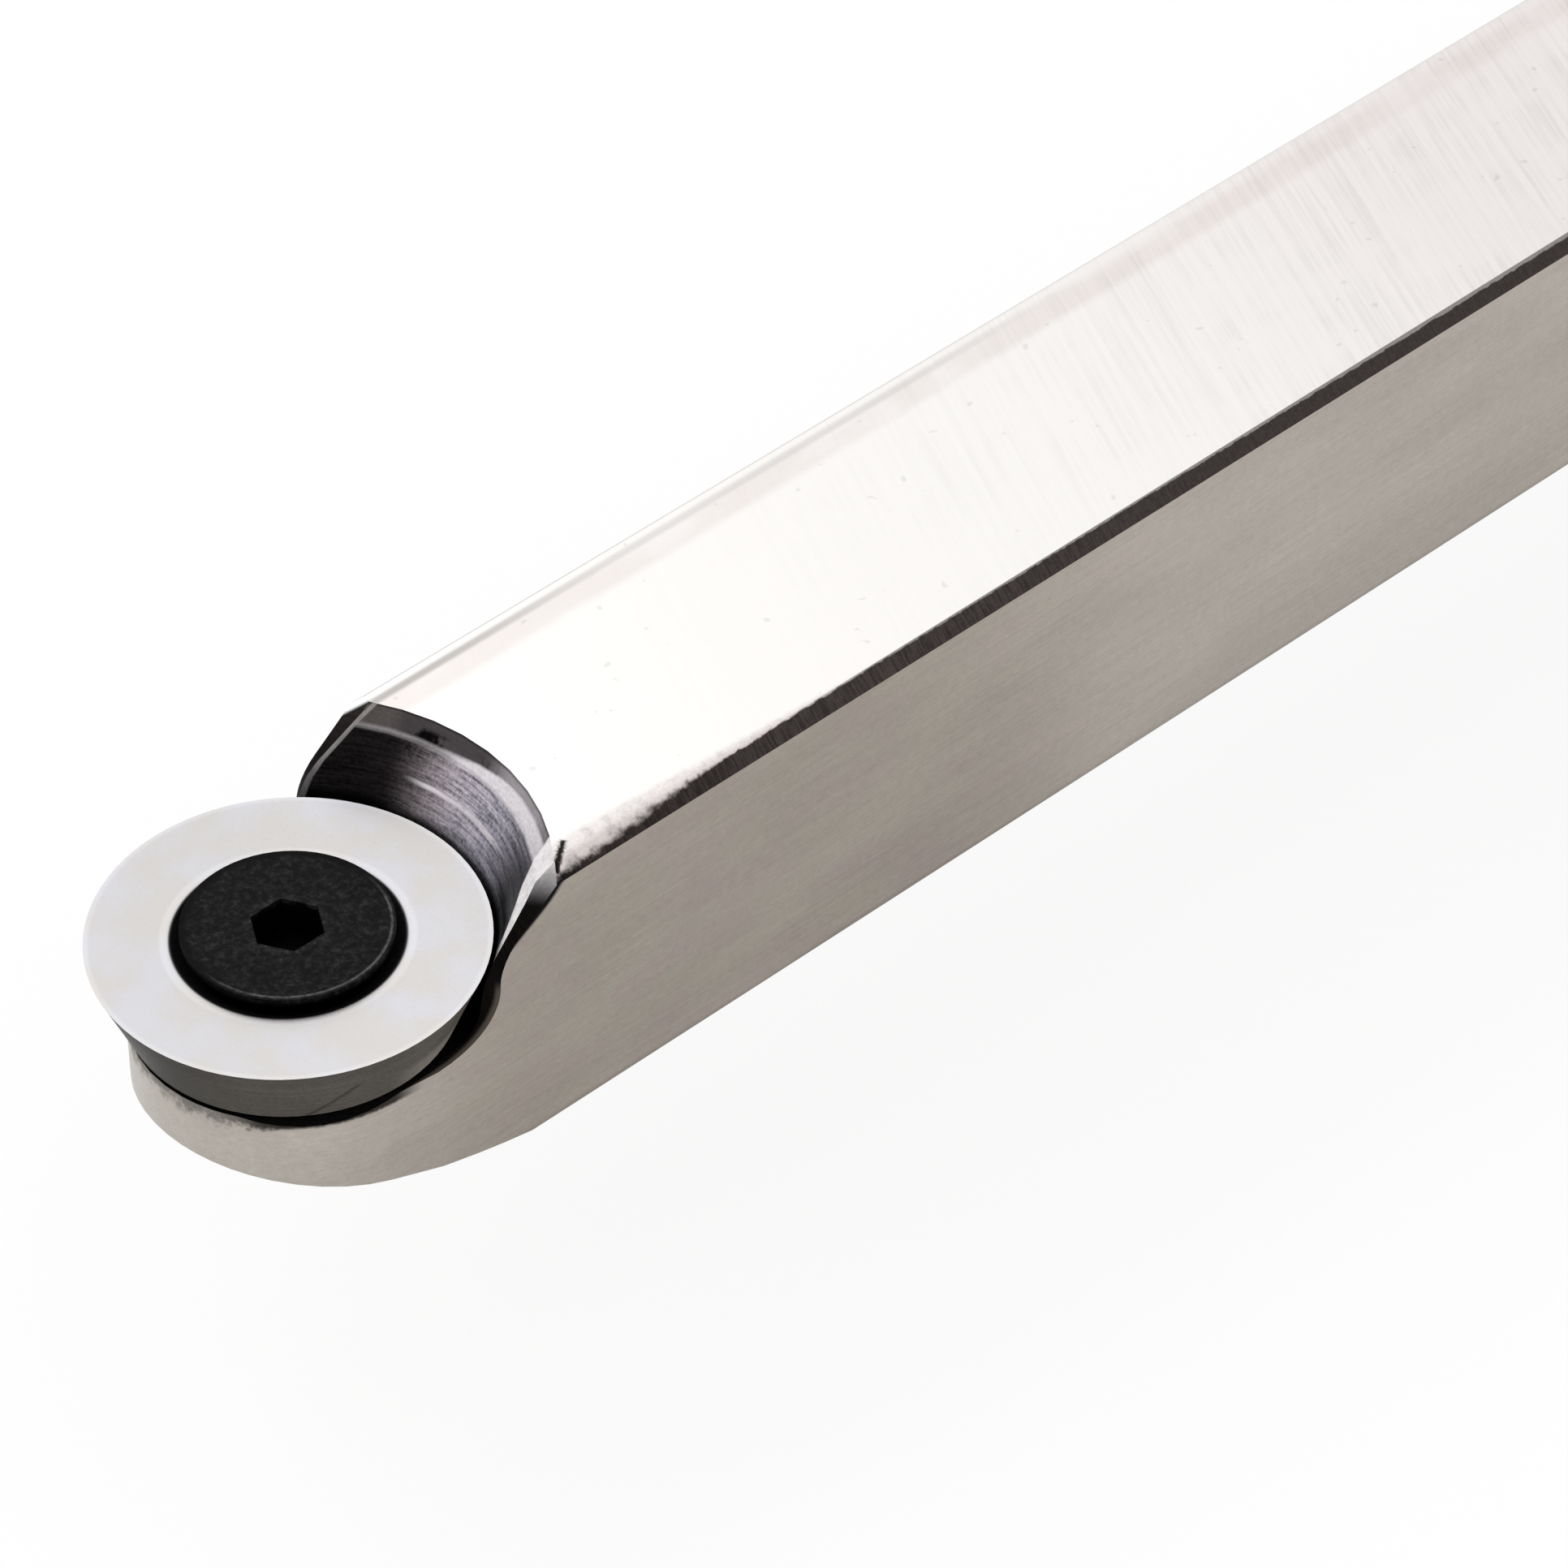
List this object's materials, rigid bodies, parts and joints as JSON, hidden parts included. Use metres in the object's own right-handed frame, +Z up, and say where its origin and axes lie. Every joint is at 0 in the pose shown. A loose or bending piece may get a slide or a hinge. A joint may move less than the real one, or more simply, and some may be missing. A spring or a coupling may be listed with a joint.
{
  "type": "woodturning hollowing tool",
  "caption": "Handled lathe tool for hollowing wood: a square steel bar with a round indexable cutter on its nose, held by a tang in the socket of a turned handle.",
  "frame": {"origin": "under the middle of the tool's length, on its centre plane, at the height of the handle's belly", "axes": "+X along the bar from the cutter towards the handle, +Z up out of the cutting face, -Y the side that the picture shows"},
  "size_m": [0.5494, 0.037, 0.037],
  "materials": {
    "bar_steel": "ground and lightly brushed along the bar",
    "carbide": "fine ground",
    "black_oxide": "black oxide, satin",
    "socket_steel": "turned",
    "brass": "polished",
    "ash_wood": "oiled, satin"
  },
  "bodies": {
    "handle_group": {"handle": "ash_wood", "ferrule": "brass", "bar_socket": "socket_steel"},
    "bar": {"tool_bar": "bar_steel"},
    "cutter": {"cutter": "carbide"},
    "cutter_screw": {"cutter_screw": "black_oxide"},
    "front_set_screw": {"front_set_screw": "black_oxide"},
    "rear_set_screw": {"rear_set_screw": "black_oxide"}
  },
  "joints": [
    {"name": "bar_slide", "type": "slide", "parent": "handle_group", "child": "bar", "axis": [-1, 0, 0], "range_m": [0, 0.052]},
    {"name": "cutter_index", "type": "hinge", "parent": "bar", "child": "cutter", "pos_m": [-0.26725, 0, 0.02227], "axis": [0, 0, 1], "continuous": true},
    {"name": "cutter_screw_turn", "type": "hinge", "parent": "bar", "child": "cutter_screw", "pos_m": [-0.26725, 0, 0.02227], "axis": [0, 0, 1], "range_deg": [0, 720]},
    {"name": "front_set_screw_turn", "type": "hinge", "parent": "handle_group", "child": "front_set_screw", "pos_m": [-0.06825, 0, 0.0295], "axis": [0, 0, 1], "range_deg": [0, 720]},
    {"name": "rear_set_screw_turn", "type": "hinge", "parent": "handle_group", "child": "rear_set_screw", "pos_m": [-0.05425, 0, 0.0295], "axis": [0, 0, 1], "range_deg": [0, 720]}
  ]
}
